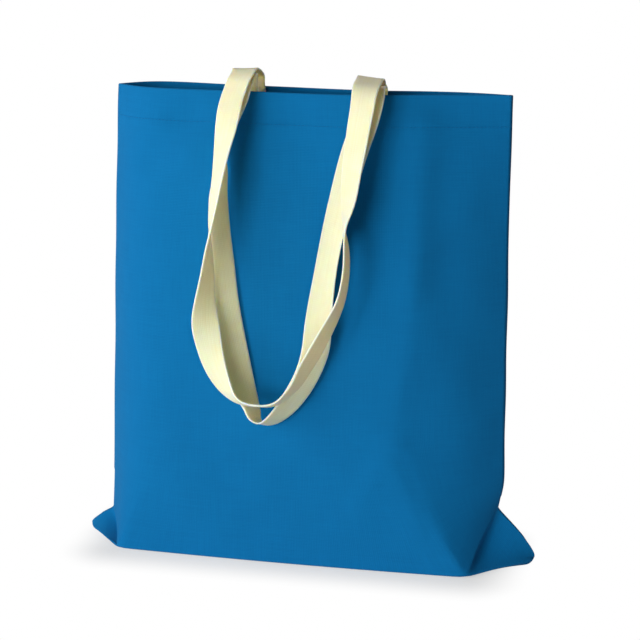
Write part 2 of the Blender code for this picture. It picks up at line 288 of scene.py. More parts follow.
def relief(grid, normal):
    """Moves a grid along its normals: one soft ridge or hollow for each fold, a bell curve across a
    line from end to end, and the slow waves. A fold shows where the canvas faces its panel's way."""
    x, z = grid[..., 0] * 1000, grid[..., 2] * 1000
    height = np.zeros(x.shape)
    for panel, x0, z0, x1, z1, half_width, tall in canvas_folds:
        length = np.hypot(x1 - x0, z1 - z0)
        along = ((x - x0) * (x1 - x0) + (z - z0) * (z1 - z0)) / length**2
        beside = ((x - x0) * (z1 - z0) - (z - z0) * (x1 - x0)) / length
        past = np.clip(np.maximum(-along, along - 1), 0, None) * length
        bell = np.exp(-(beside**2 + past**2) / half_width**2)
        height += tall * bell * np.clip(panel * normal[..., 1] * panel_facing, 0, 1)
    for turns_x, turns_z, phase, tall in canvas_waves:
        height += tall * np.sin(2 * np.pi * (x / turns_x + z / turns_z) + phase)
    calm = np.clip(z / fade_above_floor, 0, 1)
    calm = calm * np.clip((bag_height * 1000 - z) / fade_below_rim, left_at_rim, 1)
    return grid + normal * (height * calm / 1000)[..., None]


wall_normals = normals_of(wall)
wall_normals[:, (0, -1)] = (wall_normals[:, 0] + wall_normals[:, -1])[:, None] / 2
wall = relief(wall, wall_normals)
wall[:, -1] = wall[:, 0]

# The hem: over the rim in a half circle, then down the inside, two rim radii in from the outside. The
# flat cut's lengths round the bag are measured at one height.
rim_steps = 6
flat_cut_height = 0.2

outward = wall_normals * (1, 1, 0)
outward /= np.linalg.norm(outward, axis=-1)[..., None]
turn = np.radians(np.linspace(0, 180, rim_steps + 1)[1:])
over = wall[-1] + rim_radius * ((np.cos(turn)[:, None, None] - 1) * outward[-1]
                                + np.sin(turn)[:, None, None] * (0, 0, 1))
hem_rows = np.flatnonzero(wall[:, 0, 2] > bag_height - hem_depth)[::-1][1:]
inner_hem = wall[hem_rows] - 2 * rim_radius * outward[hem_rows]
shell = np.concatenate((wall, over, inner_hem))
shell_up = np.concatenate((heights_up, heights_up[-1] + rim_radius * turn,
                           heights_up[-1] + rim_radius * np.pi + heights_up[-1] - heights_up[hem_rows]))
middle_row = np.argmin(abs(wall[:, 0, 2] - flat_cut_height))
shell_around = lengths_along(wall[middle_row])

patches = []
front_end, back_end = column_of["seam_right"], len(around) - 1
for first, last in ((0, front_end), (front_end, back_end)):
    columns = slice(first, last + 1)
    flat = np.stack(np.broadcast_arrays(shell_around[None, columns], shell_up[:, None]), axis=-1)
    patches.append((shell[:, columns], flat))


def lofted(edge, edge_flat, far, far_flat, rows):
    """A patch from an edge in straight lines to a far edge or point, on the bag and in the flat."""
    share = np.linspace(0, 1, rows)[:, None, None]
    return edge * (1 - share) + far * share, edge_flat * (1 - share) + far_flat * share


def flat_of(columns, v=0.0):
    """Where points of the bag's foot lie in the flat cut, v metres up from the panel's lower edge."""
    return np.stack((shell_around[columns], np.full(len(shell_around[columns]), v)), axis=-1)


# The ears. Their rows crowd towards the tip, which is a round nose. A hollow runs up each face beside
# the bag. It draws the cloth in, towards the bag and the seam, by one share of its depth, and down by
# another.
ear_crowding = 1.3
ear_nose_length = 0.15
ear_hollow_in = 0.55
ear_hollow_down = 0.6
ear_hollow_power = 0.8

half_depth = base_depth / 2
ear_shares = (1 - (1 - np.linspace(0, 1, ear_rows)) ** ear_crowding)[:, None]
ear_shrink = np.sqrt((1 - ear_shares) ** 2 + 2 * ear_nose * ear_shares * (1 - ear_shares))
nose_share = np.clip((ear_shares - (1 - ear_nose_length)) / ear_nose_length, 0, 1) ** 3


def ear_plan(foot, middle_x, tip_x):
    """Where an ear's points lie, seen from above: copies of its foot, each smaller and further out,
    that close in a round nose at the tip."""
    x = middle_x + (tip_x - middle_x) * ear_shares + (foot[:, 0] - middle_x) * ear_shrink
    return x, foot[:, 1] * ear_shrink


def ear_patch(x, y, z, foot_flat, tip_flat):
    """A patch of an ear and its place in the flat, which runs straight from its foot to its tip."""
    flat = foot_flat * (1 - ear_shares[..., None]) + tip_flat * ear_shares[..., None]
    return np.stack((x, y, z), axis=-1), flat


for fold, seam, face in (
    ("fold_front_left", "seam_left", -1), ("fold_back_left", "seam_left", 1),
    ("fold_front_right", "seam_right", -1), ("fold_back_right", "seam_right", 1),
):
    side = "left" if "left" in seam else "right"
    sign = -1 if side == "left" else 1
    corner_column = column_of[fold]
    seam_column = column_of[seam] if (side, face) != ("left", 1) else back_end
    low_column, high_column = sorted((corner_column, seam_column))
    columns = slice(low_column, high_column + 1)
    tip_x = sign * (base_width / 2 + ear_reach[side])
    tip_flat = np.array((shell_around[seam_column], -half_depth))
    corner_point = wall[0, corner_column]
    edge_lift = ear_tip_lift[side] * np.sin(ear_shares * np.pi / 2)
    foot = wall[0, columns]
    climb_share = foot[:, 2] / foot[:, 2].max()
    x, y = ear_plan(foot, corner_point[0], tip_x)
    z = (foot[:, 2] * (1 - ear_shares) ** ear_ridge_fall + edge_lift * (1 - climb_share)
         + ear_tip_lift[side] * ear_shares * climb_share)
    groove = ear_shares / ear_hollow_place[side]
    hollow = (ear_hollow[side] * groove * np.exp(1 - groove)
              * np.sin(np.pi * climb_share) ** ear_hollow_power)
    patches.append(ear_patch(x - ear_hollow_in * sign * hollow, y - ear_hollow_in * face * hollow,
                             z - ear_hollow_down * hollow, flat_of(columns), tip_flat))
    end_of_base = np.linspace(0, 1, base_rows)
    base_end = corner_point * np.stack((np.ones(base_rows), 1 - end_of_base, np.ones(base_rows)), axis=-1)
    base_end_flat = np.array((shell_around[corner_column], 0)) - end_of_base[:, None] * (0, half_depth)
    x, y = ear_plan(base_end, corner_point[0], tip_x)
    z = edge_lift * (1 - (1 - (1 - end_of_base) ** 4) * (1 - nose_share))
    patches.append(ear_patch(x, y, z, base_end_flat, tip_flat))

for first, last in (("fold_front_left", "fold_front_right"), ("fold_back_right", "fold_back_left")):
    columns = slice(column_of[first], column_of[last] + 1)
    edge = wall[0, columns]
    patches.append(lofted(edge, flat_of(columns), edge * (1, 0, 0), flat_of(columns, -half_depth),
                          base_rows))


def welded(patches):
    """One mesh from grids that share edges: points that coincide to a micrometre become one, and a quad
    with one end pinched to a point becomes a triangle. Returns the points, quads, triangles, and the
    flat position of each corner of both."""
    points, flats, quads = [], [], []
    begin = 0
    for grid, flat in patches:
        rows, columns = grid.shape[:2]
        number = begin + np.arange(rows * columns).reshape(rows, columns)
        around_quad = number[:-1, :-1], number[:-1, 1:], number[1:, 1:], number[1:, :-1]
        quads.append(np.stack(around_quad, axis=-1).reshape(-1, 4))
        points.append(grid.reshape(-1, 3))
        flats.append(flat.reshape(-1, 2))
        begin += rows * columns
    points, flats, quads = np.concatenate(points), np.concatenate(flats), np.concatenate(quads)
    micrometres = np.round(points * 1e6).astype(int)
    _, first, merged = np.unique(micrometres, axis=0, return_index=True, return_inverse=True)
    merged = merged.reshape(-1)
    closed = merged[quads]
    far, near = closed[:, 2] == closed[:, 3], closed[:, 0] == closed[:, 1]
    whole = ~(far | near)
    return (points[first], closed[whole], np.concatenate((closed[far][:, :3], closed[near][:, 1:])),
            flats[quads[whole]], np.concatenate((flats[quads[far][:, :3]], flats[quads[near][:, 1:]])))


def relaxed(points, quads, triangles, weight, rounds):
    """Eases points towards the mean of their neighbours, by their weight, so that a fold gets a radius."""
    edges = np.concatenate([quads[:, (i, (i + 1) % 4)] for i in range(4)]
                           + [triangles[:, (i, (i + 1) % 3)] for i in range(3)])
    edges = np.unique(np.sort(edges, axis=1), axis=0)
    both = np.concatenate((edges, edges[:, ::-1]))
    count = np.bincount(both[:, 0], minlength=len(points))[:, None]
    for _ in range(rounds):
        total = np.stack([np.bincount(both[:, 0], points[both[:, 1], k], len(points))
                          for k in range(3)], axis=-1)
        points = points + weight[:, None] * (total / count - points)
    return points


def cloth_object(name, points, quads, triangles, quad_flats, triangle_flats):
    """A mesh object with its flat cut as the UV map, in metres."""
    mesh = bpy.data.meshes.new(name)
    mesh.from_pydata(points.tolist(), [], quads.tolist() + triangles.tolist())
    flat = mesh.uv_layers.new(name="flat cut")
    flat.data.foreach_set("uv", np.concatenate((quad_flats.reshape(-1), triangle_flats.reshape(-1))))
    mesh.polygons.foreach_set("use_smooth", np.ones(len(mesh.polygons), bool))
    made = bpy.data.objects.new(name, mesh)
    bpy.context.collection.objects.link(made)
    return made


def face_outwards(made):
    """Turns the faces of an open shell the same way, with the lowest ones looking down."""
    work = bmesh.new()
    work.from_mesh(made.data)
    bmesh.ops.recalc_face_normals(work, faces=work.faces)
    work.to_mesh(made.data)
    work.free()
    lowest = min(made.data.polygons, key=lambda face: face.center.z)
    if lowest.normal.z > 0:
        made.data.flip_normals()


# Where the cloth is eased, so that its folds are round: along the edges of the base, over the ears, and
# most at their tips. Each zone has its size in metres and how strongly it eases.
edge_band, edge_beside, edge_ease = 0.006, 0.002, 0.5
ear_overlap, ear_top, ear_ease = 0.004, 0.055, 0.2
tip_band, tip_blend, tip_ease = 0.009, 0.004, 0.5
most_ease = 0.6
ease_rounds = 4

points, quads, triangles, quad_flats, triangle_flats = welded(patches)
edge_zone = np.clip(1 - points[:, 2] / edge_band, 0, 1) * (
    (abs(points[:, 1]) > half_depth - edge_band) | (abs(points[:, 0]) > base_width / 2 - edge_beside))
ear_zone = (abs(points[:, 0]) > base_width / 2 - ear_overlap) & (points[:, 2] < ear_top)
reach = np.where(points[:, 0] < 0, ear_reach["left"], ear_reach["right"])
tip_zone = np.clip((abs(points[:, 0]) - base_width / 2 - reach + tip_band) / tip_blend, 0, 1)
ease = np.clip(edge_zone * edge_ease + ear_zone * ear_ease + tip_zone * tip_ease, 0, most_ease)
points = relaxed(points, quads, triangles, ease, ease_rounds)
points[:, 2] = np.clip(points[:, 2], 0, None)
bag_canvas = cloth_object("bag_canvas", points, quads, triangles, quad_flats, triangle_flats)
face_outwards(bag_canvas)
layer = bag_canvas.modifiers.new("canvas layer", "SOLIDIFY")
layer.thickness = canvas_thickness
layer.offset = -1


def linear(hex_colour):
    """An sRGB hex colour as linear red, green, blue and alpha."""
    parts = np.array([int(hex_colour[i:i + 2], 16) for i in (1, 3, 5)]) / 255
    return (*np.where(parts <= 0.04045, parts / 12.92, ((parts + 0.055) / 1.055) ** 2.4), 1.0)


def add(tree, kind, inputs=None, **settings):
    """Adds a node: settings are its properties, and each input is a value or another node's socket."""
    made = tree.nodes.new(kind)
    for name, value in settings.items():
        setattr(made, name, value)
    for name, value in (inputs or {}).items():
        if isinstance(value, bpy.types.NodeSocket):
            tree.links.new(value, made.inputs[name])
        else:
            made.inputs[name].default_value = value
    return made


# Dyed cotton canvas, a plain weave of soft-spun yarn: matt, a little fuzzy, with thick and thin places
# along the yarns. The real yarns lie about 0.6 mm apart. They are drawn 1.2 mm apart, so as to show.
canvas_yarn_pitch = 0.0012
canvas_slub_length = 0.035
canvas_blue = "#06669d"
canvas_blue_deep = "#056197"
canvas_blue_pale = "#076ba3"


def plain_weave(tree, flat, pitch_across, pitch_along):
    """The height of a plain weave: over and under in a chequer of half sine waves. Returns a socket."""
    parts = add(tree, "ShaderNodeSeparateXYZ", {"Vector": flat})
    turns = [add(tree, "ShaderNodeMath", {0: parts.outputs[k], 1: np.pi / pitch},
                 operation="MULTIPLY").outputs[0] for k, pitch in ((0, pitch_across), (1, pitch_along))]
    sines = [add(tree, "ShaderNodeMath", {0: turn}, operation="SINE").outputs[0] for turn in turns]
    yarns = [add(tree, "ShaderNodeMath", {0: sine}, operation="ABSOLUTE").outputs[0] for sine in sines]
    chequer = add(tree, "ShaderNodeMath", {0: sines[0], 1: sines[1]}, operation="MULTIPLY").outputs[0]
    over = add(tree, "ShaderNodeMath", {0: chequer, 1: 0.5, 2: 0.5}, operation="MULTIPLY_ADD").outputs[0]
    under = add(tree, "ShaderNodeMath", {0: 1.0, 1: over}, operation="SUBTRACT").outputs[0]
    first = add(tree, "ShaderNodeMath", {0: yarns[0], 1: over}, operation="MULTIPLY").outputs[0]
    return add(tree, "ShaderNodeMath", {0: yarns[1], 1: under, 2: first}, operation="MULTIPLY_ADD").outputs[0]


def slubs(tree, flat, pitch_across, pitch_along, seed):
    """Noise drawn out along one set of yarns, as thick and thin yarn. Returns a socket."""
    stretched = add(tree, "ShaderNodeMapping", {
        "Vector": flat, "Scale": (1 / pitch_across, 1 / pitch_along, 1), "Location": (seed, seed * 1.7, 0)})
    return add(tree, "ShaderNodeTexNoise", {"Vector": stretched.outputs[0], "Scale": 1.0, "Detail": 2.0,
                                            "Roughness": 0.6}).outputs["Fac"]


canvas = bpy.data.materials.new("blue_cotton_canvas")
canvas.use_nodes = True
tree = canvas.node_tree
flat = add(tree, "ShaderNodeUVMap", uv_map="flat cut").outputs[0]
weave = plain_weave(tree, flat, canvas_yarn_pitch, canvas_yarn_pitch)
warp_slubs = slubs(tree, flat, canvas_yarn_pitch, canvas_slub_length, 3.1)
weft_slubs = slubs(tree, flat, canvas_slub_length, canvas_yarn_pitch, 7.7)
both_slubs = add(tree, "ShaderNodeMath", {0: warp_slubs, 1: weft_slubs}, operation="ADD").outputs[0]
cloud = add(tree, "ShaderNodeTexNoise", {"Vector": flat, "Scale": 14.0, "Detail": 3.0}).outputs["Fac"]
tone_and_weave_shade = add(tree, "ShaderNodeMath", {0: both_slubs, 1: 0.55, 2: -0.15}, operation="MULTIPLY_ADD").outputs[0]
tone_and_weave_shade = add(tree, "ShaderNodeMath", {0: cloud, 1: 0.5, 2: tone_and_weave_shade}, operation="MULTIPLY_ADD").outputs[0]
# The weave's height darkens the colour in the hollows between the yarns: painted shade. The slubs and the
# cloud are the canvas's own uneven tone.
tone_and_weave_shade = add(tree, "ShaderNodeMath", {0: weave, 1: 0.25, 2: tone_and_weave_shade}, operation="MULTIPLY_ADD").outputs[0]
colour = add(tree, "ShaderNodeValToRGB", {"Fac": tone_and_weave_shade})
colour.color_ramp.elements[0].position = 0.35
colour.color_ramp.elements[0].color = linear(canvas_blue_deep)
colour.color_ramp.elements[1].position = 0.95
colour.color_ramp.elements[1].color = linear(canvas_blue_pale)
colour.color_ramp.elements.new(0.65).color = linear(canvas_blue)
surface = add(tree, "ShaderNodeMath", {0: both_slubs, 1: 0.4, 2: weave}, operation="MULTIPLY_ADD").outputs[0]
bump = add(tree, "ShaderNodeBump", {"Height": surface, "Strength": 0.35, "Distance": 0.00025})
shader = tree.nodes["Principled BSDF"]
tree.links.new(colour.outputs[0], shader.inputs["Base Color"])
tree.links.new(bump.outputs[0], shader.inputs["Normal"])
shader.inputs["Roughness"].default_value = 0.9
shader.inputs["Specular IOR Level"].default_value = 0.08
shader.inputs["Sheen Weight"].default_value = 0.02
shader.inputs["Sheen Roughness"].default_value = 0.5
bag_canvas.data.materials.append(canvas)

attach(bag_canvas, "root")
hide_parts("bag_body")

# Handles. Two lengths of natural cotton webbing, each sewn by both ends inside the hem of one panel.
# Both stand up out of the mouth, fall over the front rim and hang down the front, twisted on the way.
strap_width = 0.0215
strap_thickness = 0.0015
strap_pitch = 0.0015

# Stations along each handle, from one sewn end to the other: mm right of the middle, mm out in front
# of the base's front edge, mm above the rim, then the heading and lift of the strap's width, degrees.
back_handle_route = (
    (-40.7, -62.6, -24, -6, 0), (-40.7, -60.4, -16, -7, 0), (-40.7, -58.2, -8, -7, 0),
    (-40.7, -56.5, -2, -8, 0), (-40.7, -54.3, 4, -8, 0), (-40.7, -52.5, 8, 0, 0), (-40.3, -45.5, 12, -3, 1),
    (-39, -35, 14.6, -8, 2), (-37.2, -25, 16.1, -14, 3), (-36.2, -17.3, 16.9, -19, 3),
    (-36.8, -10.3, 14.3, -22, 2), (-38.3, -4.8, 9.8, -25, -3), (-40.1, -1.3, 3.3, -25, -4),
    (-41.7, 3.2, -4, -23, -1), (-42.6, 10.5, -16, -22, 1), (-45, 17.5, -37.5, -38, 7),
    (-47, 27, -62.5, -52, 12), (-50.5, 33, -91.5, -64, 14), (-52.5, 35, -117, -88, 14),
    (-54, 34.5, -135, -102, 13), (-57, 32, -161.5, -131, 9), (-56.5, 31.5, -175, -158, 1),
    (-54, 31, -191, -182, -9), (-48.5, 32, -209, -203, -21), (-41.5, 33.5, -221.5, -223, -24),
    (-29.5, 36.5, -232, -249, -21), (-13, 38.5, -234.5, -258, -18), (-4, 39, -233.5, -258, -19),
    (3, 39, -230.5, -262, -21), (9, 38.5, -225, -267, -21), (15.5, 37.5, -217.5, -274, -22),
    (22.5, 36.5, -205, -282, -23), (30, 35.5, -191.5, -286, -22), (37.5, 34.5, -177, -283, -22),
    (44.5, 33.5, -163, -278, -20), (50, 32.5, -149.5, -273, -18), (53, 31.5, -134.5, -271, -17),
    (54, 30.5, -119, -269, -14), (53, 29, -105.5, -265, -14), (52, 27.5, -93.5, -253, -14),
    (53, 25.5, -83, -238, -11), (54, 23.5, -72.5, -226, -8), (55, 20.5, -58, -218, -5),
    (58, 16, -32, -209, -1), (60.2, 13.8, -16, -205, -1), (61.3, 11.8, -8, -203, 0),
    (61.7, 8.8, -1.5, -203, 2), (61.9, 4.5, 3.8, -203, 4), (61.7, -2, 7.8, -203, 5),
    (61.4, -11, 10.2, -203, 5), (61, -21, 11.9, -202, 4), (60.2, -29.5, 11.2, -196, 3),
    (59.5, -35.5, 8.8, -189, 1), (59.1, -39.5, 5.8, -184, 0), (59.1, -42, 4, -178, 0),
    (59.1, -44.9, -2, -178, 0), (59.1, -47.2, -8, -179, 0), (59.1, -50.4, -16, -179, 0),
    (59.1, -53.5, -24, -180, 0),
)
front_handle_route = (
    (-38.8, -18.3, -24, -4, 0), (-38.8, -19.9, -16, -4, 0),
    (-38.8, -21.5, -8, -5, 0), (-38.8, -22.7, -2, -5, 0),
    (-38.8, -24.3, 4, -5, 0), (-38.8, -23.3, 7.5, -3, 0),
    (-38.2, -22.6, 11, -7, 0), (-37.7, -19.8, 13.2, -12, 1),
    (-37.6, -15, 12, -13, 1), (-38, -11.5, 9, -13, 1), (-38.8, -8.2, 4.5, -13, 0), (-40.2, -6, -2, -14, 0),
    (-44.5, -3, -15, -20, 0), (-46.5, 1, -28.5, -44, 0), (-48, 3.5, -41, -70, 6), (-49, 5.5, -57, -93, 13),
    (-51.5, 7, -73, -110, 12), (-51.5, 8.5, -90.5, -119, 10),
    (-50, 10, -109, -123, 8), (-48, 11, -129.5, -128, 5),
    (-46, 11.5, -154.5, -136, 1), (-41.5, 12, -184, -140, -2),
    (-36.5, 13, -207.5, -138, -6), (-32, 14.5, -224, -129, -9),
    (-28, 16, -234.5, -118, -4), (-24.5, 17, -242, -107, -2),
    (-21, 18, -250.5, -96, 3), (-16, 18.5, -255, -80, 17),
    (-10, 18.5, -253.5, -87, 29), (-4.5, 18, -249.5, -95, 37),
    (1.5, 17.5, -243.5, -109, 38), (8.5, 17, -234, -124, 38),
    (16, 16.5, -222, -134, 34), (22, 16, -209, -144, 27),
    (26.5, 15.5, -194, -160, 16), (28.5, 15, -176, -180, 6),
    (30.5, 14, -156, -197, 0), (33.5, 13, -134.5, -207, -2),
    (37, 12, -113.5, -209, -1), (41, 11, -94, -207, 1),
    (46, 10, -73.5, -202, 3), (51.5, 8.5, -52.5, -195, 7), (57, 7, -34, -192, 6), (62, 4, -18.5, -192, 3),
    (64.7, 0, -6, -190, 1), (65, -3.7, 0, -188, 2), (64.4, -7.8, 4.2, -186, 3), (63.4, -13, 6, -184, 2),
    (63.4, -22.3, 4, -170, 0), (63.4, -20.7, -2, -170, 0),
    (63.4, -19.6, -8, -171, 0), (63.4, -18.1, -16, -171, 0),
    (63.4, -16.6, -24, -172, 0),
)


def smooth_through(stations, pitch):
    """Values at even steps along the natural cubic spline through the stations."""
    at = lengths_along(stations[:, :3])
    gaps = np.diff(at)
    inner = np.arange(1, len(at) - 1)
    system = np.eye(len(at))
    system[inner, inner - 1], system[inner, inner], system[inner, inner + 1] = (
        gaps[:-1], 2 * (gaps[:-1] + gaps[1:]), gaps[1:])
    slopes = np.diff(stations, axis=0) / gaps[:, None]
    turns = np.zeros_like(stations)
    turns[inner] = 6 * np.diff(slopes, axis=0)
    bend = np.linalg.solve(system, turns)
    where = np.linspace(0, at[-1], int(at[-1] / pitch) + 1)
    i = np.clip(np.searchsorted(at, where, side="right") - 1, 0, len(at) - 2)
    a, b, h = (at[i + 1] - where)[:, None], (where - at[i])[:, None], gaps[i][:, None]
    curve = (bend[i] * a**3 + bend[i + 1] * b**3) / (6 * h)
    return curve + (stations[i] / h - bend[i] * h / 6) * a + (stations[i + 1] / h - bend[i + 1] * h / 6) * b


def strap_frame(route):
    """The middle line of a strap, its width direction and its face direction, at even steps."""
    stations = np.array(route, float)
    stations[:, :3] = np.stack((stations[:, 0], -half_depth * 1000 - stations[:, 1],
                                bag_height * 1000 + stations[:, 2]), axis=-1) / 1000
    line = smooth_through(stations, strap_pitch)
    middle = line[:, :3]
    heading, lift = np.radians(line[:, 3:]).T
    along = np.gradient(middle, axis=0)
    along /= np.linalg.norm(along, axis=1)[:, None]
    width = np.stack((np.cos(heading) * np.cos(lift), np.sin(heading) * np.cos(lift), np.sin(lift)), axis=1)
    width -= np.sum(width * along, axis=1)[:, None] * along
    width /= np.linalg.norm(width, axis=1)[:, None]
    return middle, width, np.cross(along, width)


def strap_profile(faces_across=10, arc_steps=4):
    """The outline of the webbing, cut across: two flat faces joined by half round edges. Columns:
    across and out, in metres."""
    flat_half = (strap_width - strap_thickness) / 2
    across = np.linspace(-flat_half, flat_half, faces_across + 1)
    turn = np.radians(np.linspace(90, -90, arc_steps + 1)[1:-1])
    edge = np.stack((flat_half + strap_thickness / 2 * np.cos(turn), strap_thickness / 2 * np.sin(turn)),
                    axis=-1)
    face = np.stack((across, np.full(len(across), strap_thickness / 2)), axis=-1)
    return np.concatenate((face, edge, -face, -edge))


def webbing_strap(name, route):
    """A closed strap: its outline carried along the route, with the flat cut as the UV map."""
    middle, width, out = strap_frame(route)
    outline = strap_profile()
    ring = middle[:, None] + width[:, None] * outline[None, :, :1] + out[:, None] * outline[None, :, 1:]
    rows, columns = ring.shape[:2]
    number = np.arange(rows * columns).reshape(rows, columns)
    beside = np.roll(number, -1, axis=1)
    quads = np.stack((number[:-1], beside[:-1], beside[1:], number[1:]), axis=-1).reshape(-1, 4)
    far = lengths_along(middle)
    flat = np.stack(np.broadcast_arrays(outline[None, :, 0], far[:, None]), axis=-1).reshape(-1, 2)
    half = columns // 2
    lower, upper = np.arange(half - 1), np.arange(columns - 1, half, -1)
    lid = np.stack((lower, lower + 1, upper - 1, upper), axis=-1)
    ends = np.concatenate((lid, (lid + (rows - 1) * columns)[:, ::-1]))
    faces = np.concatenate((quads, ends))
    return cloth_object(name, ring.reshape(-1, 3), faces, np.empty((0, 3), int), flat[faces],
                        np.empty((0, 3, 2)))


# Natural cotton webbing, unbleached, woven thick and close: warm cream, matt, with fine cords along
# it. Light comes through it, so its shaded side glows golden. The edges are drawn paler: a painted
# highlight along them.
# The real cords and picks lie about 0.8 mm apart. They are drawn 1.3 and 1.6 mm apart, so as to show.
webbing_cord_pitch = 0.00134
webbing_pick_pitch = 0.0016
webbing_highlight_start = 0.0014
webbing_highlight_full = 0.0006
webbing_cream = "#feecca"
webbing_cream_deep = "#fadfb2"
webbing_edge_highlight = "#fff2d8"

webbing = bpy.data.materials.new("natural_cotton_webbing")
webbing.use_nodes = True
tree = webbing.node_tree
flat = add(tree, "ShaderNodeUVMap", uv_map="flat cut").outputs[0]
weave = plain_weave(tree, flat, webbing_cord_pitch, webbing_pick_pitch)
cords = slubs(tree, flat, webbing_cord_pitch, 0.05, 1.3)
cloud = add(tree, "ShaderNodeTexNoise", {"Vector": flat, "Scale": 60.0, "Detail": 3.0}).outputs["Fac"]
tone_and_weave_shade = add(tree, "ShaderNodeMath", {0: cords, 1: 0.5, 2: 0.0}, operation="MULTIPLY_ADD").outputs[0]
tone_and_weave_shade = add(tree, "ShaderNodeMath", {0: cloud, 1: 0.35, 2: tone_and_weave_shade}, operation="MULTIPLY_ADD").outputs[0]
# The weave's height darkens the colour in the hollows between cords and picks: painted shade. The cords and
# the cloud are the webbing's own uneven tone.
tone_and_weave_shade = add(tree, "ShaderNodeMath", {0: weave, 1: 0.2, 2: tone_and_weave_shade}, operation="MULTIPLY_ADD").outputs[0]
face_colour = add(tree, "ShaderNodeValToRGB", {"Fac": tone_and_weave_shade})
face_colour.color_ramp.elements[0].position = 0.3
face_colour.color_ramp.elements[0].color = linear(webbing_cream_deep)
face_colour.color_ramp.elements[1].position = 0.75
face_colour.color_ramp.elements[1].color = linear(webbing_cream)
across = add(tree, "ShaderNodeSeparateXYZ", {"Vector": flat}).outputs[0]
across = add(tree, "ShaderNodeMath", {0: across}, operation="ABSOLUTE").outputs[0]
# Both edges of the strap are drawn paler: a painted highlight.
edge_highlight_share = add(tree, "ShaderNodeMapRange", {
    "Value": across, "From Min": strap_width / 2 - webbing_highlight_start,
    "From Max": strap_width / 2 - webbing_highlight_full}).outputs[0]
colour = add(tree, "ShaderNodeMix", {
    "Factor": edge_highlight_share, "A": face_colour.outputs[0], "B": linear(webbing_edge_highlight)}, data_type="RGBA")
surface = add(tree, "ShaderNodeMath", {0: cords, 1: 0.5, 2: weave}, operation="MULTIPLY_ADD").outputs[0]
bump = add(tree, "ShaderNodeBump", {"Height": surface, "Strength": 0.4, "Distance": 0.0003})
shader = tree.nodes["Principled BSDF"]
tree.links.new(colour.outputs[2], shader.inputs["Base Color"])
tree.links.new(bump.outputs[0], shader.inputs["Normal"])
shader.inputs["Roughness"].default_value = 0.88
shader.inputs["Specular IOR Level"].default_value = 0.1
shader.inputs["Subsurface Weight"].default_value = 1.0
shader.inputs["Subsurface Radius"].default_value = (1.0, 0.72, 0.3)
shader.inputs["Subsurface Scale"].default_value = 0.0045

for piece, node, route in (("back_webbing", "back_handle", back_handle_route),
                           ("front_webbing", "front_handle", front_handle_route)):
    strap = webbing_strap(piece, route)
    strap.data.materials.append(webbing)
    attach(strap, "root")
    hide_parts(node)

# Stitching. One row of lockstitch in blue thread runs round the hem, near its lower edge. Each handle's
# ends are sewn with a box and a cross in cream thread. Every stitch is a short length of thread, plump
# in the middle, that dives into the cloth at both ends.
hem_stitch_margin = 0.003
hem_stitch_pitch = 0.0032
thread_radius = 0.00028
stitch_share = 0.82
stitch_depth = 0.00006
stitch_box_margin = 0.003
stitch_box_length = 0.016
stitch_box_pitch = 0.0024
stitch_rings = 7
stitch_sides = 8
thread_ply_pitch = 0.001
thread_blue = "#0568a0"
thread_cream = "#f4e6bd"


def stitch_rows(places, outs, pitch):
    """Stitches along a line of points: each is an ellipsoid, a thread wide and most of a pitch long,
    whose middle stands off the cloth by its radius. Returns one grid with poles for each stitch."""
    far = lengths_along(places)
    count = max(1, int(round(far[-1] / pitch)))
    ends = np.linspace(0, far[-1], count + 1)
    middles = (ends[1:] + ends[:-1]) / 2
    at = np.stack([np.interp(middles, far, places[:, k]) for k in range(3)], axis=-1)
    before = np.stack([np.interp(ends[:-1], far, places[:, k]) for k in range(3)], axis=-1)
    after = np.stack([np.interp(ends[1:], far, places[:, k]) for k in range(3)], axis=-1)
    along = (after - before) * stitch_share / 2
    out = np.stack([np.interp(middles, far, outs[:, k]) for k in range(3)], axis=-1)
    out /= np.linalg.norm(out, axis=-1)[:, None]
    beside = np.cross(along, out)
    beside /= np.linalg.norm(beside, axis=-1)[:, None]
    polar = np.radians(np.linspace(0, 180, stitch_rings))[:, None, None, None]
    turn = np.radians(np.linspace(0, 360, stitch_sides + 1))[None, :, None, None]
    ring = np.cos(turn) * beside + np.sin(turn) * out
    grid = at + out * stitch_depth + along * np.cos(polar) + ring * thread_radius * np.sin(polar)
    return np.moveaxis(grid, 2, 0)


def stitching(name, rows, material):
    """One piece of all the stitches in these rows, with length and turn of the thread as the UV map."""
    grids = np.concatenate(rows)
    lengths = np.linspace(0, hem_stitch_pitch, stitch_rings)
    turns = np.linspace(0, 2 * np.pi * thread_radius, stitch_sides + 1)
    flat = np.stack(np.meshgrid(lengths, turns, indexing="ij"), axis=-1)
    points, quads, triangles, quad_flats, triangle_flats = welded([(grid, flat) for grid in grids])
    made = cloth_object(name, points, quads, triangles, quad_flats, triangle_flats)
    face_outwards(made)
    made.data.materials.append(material)
    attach(made, "root")


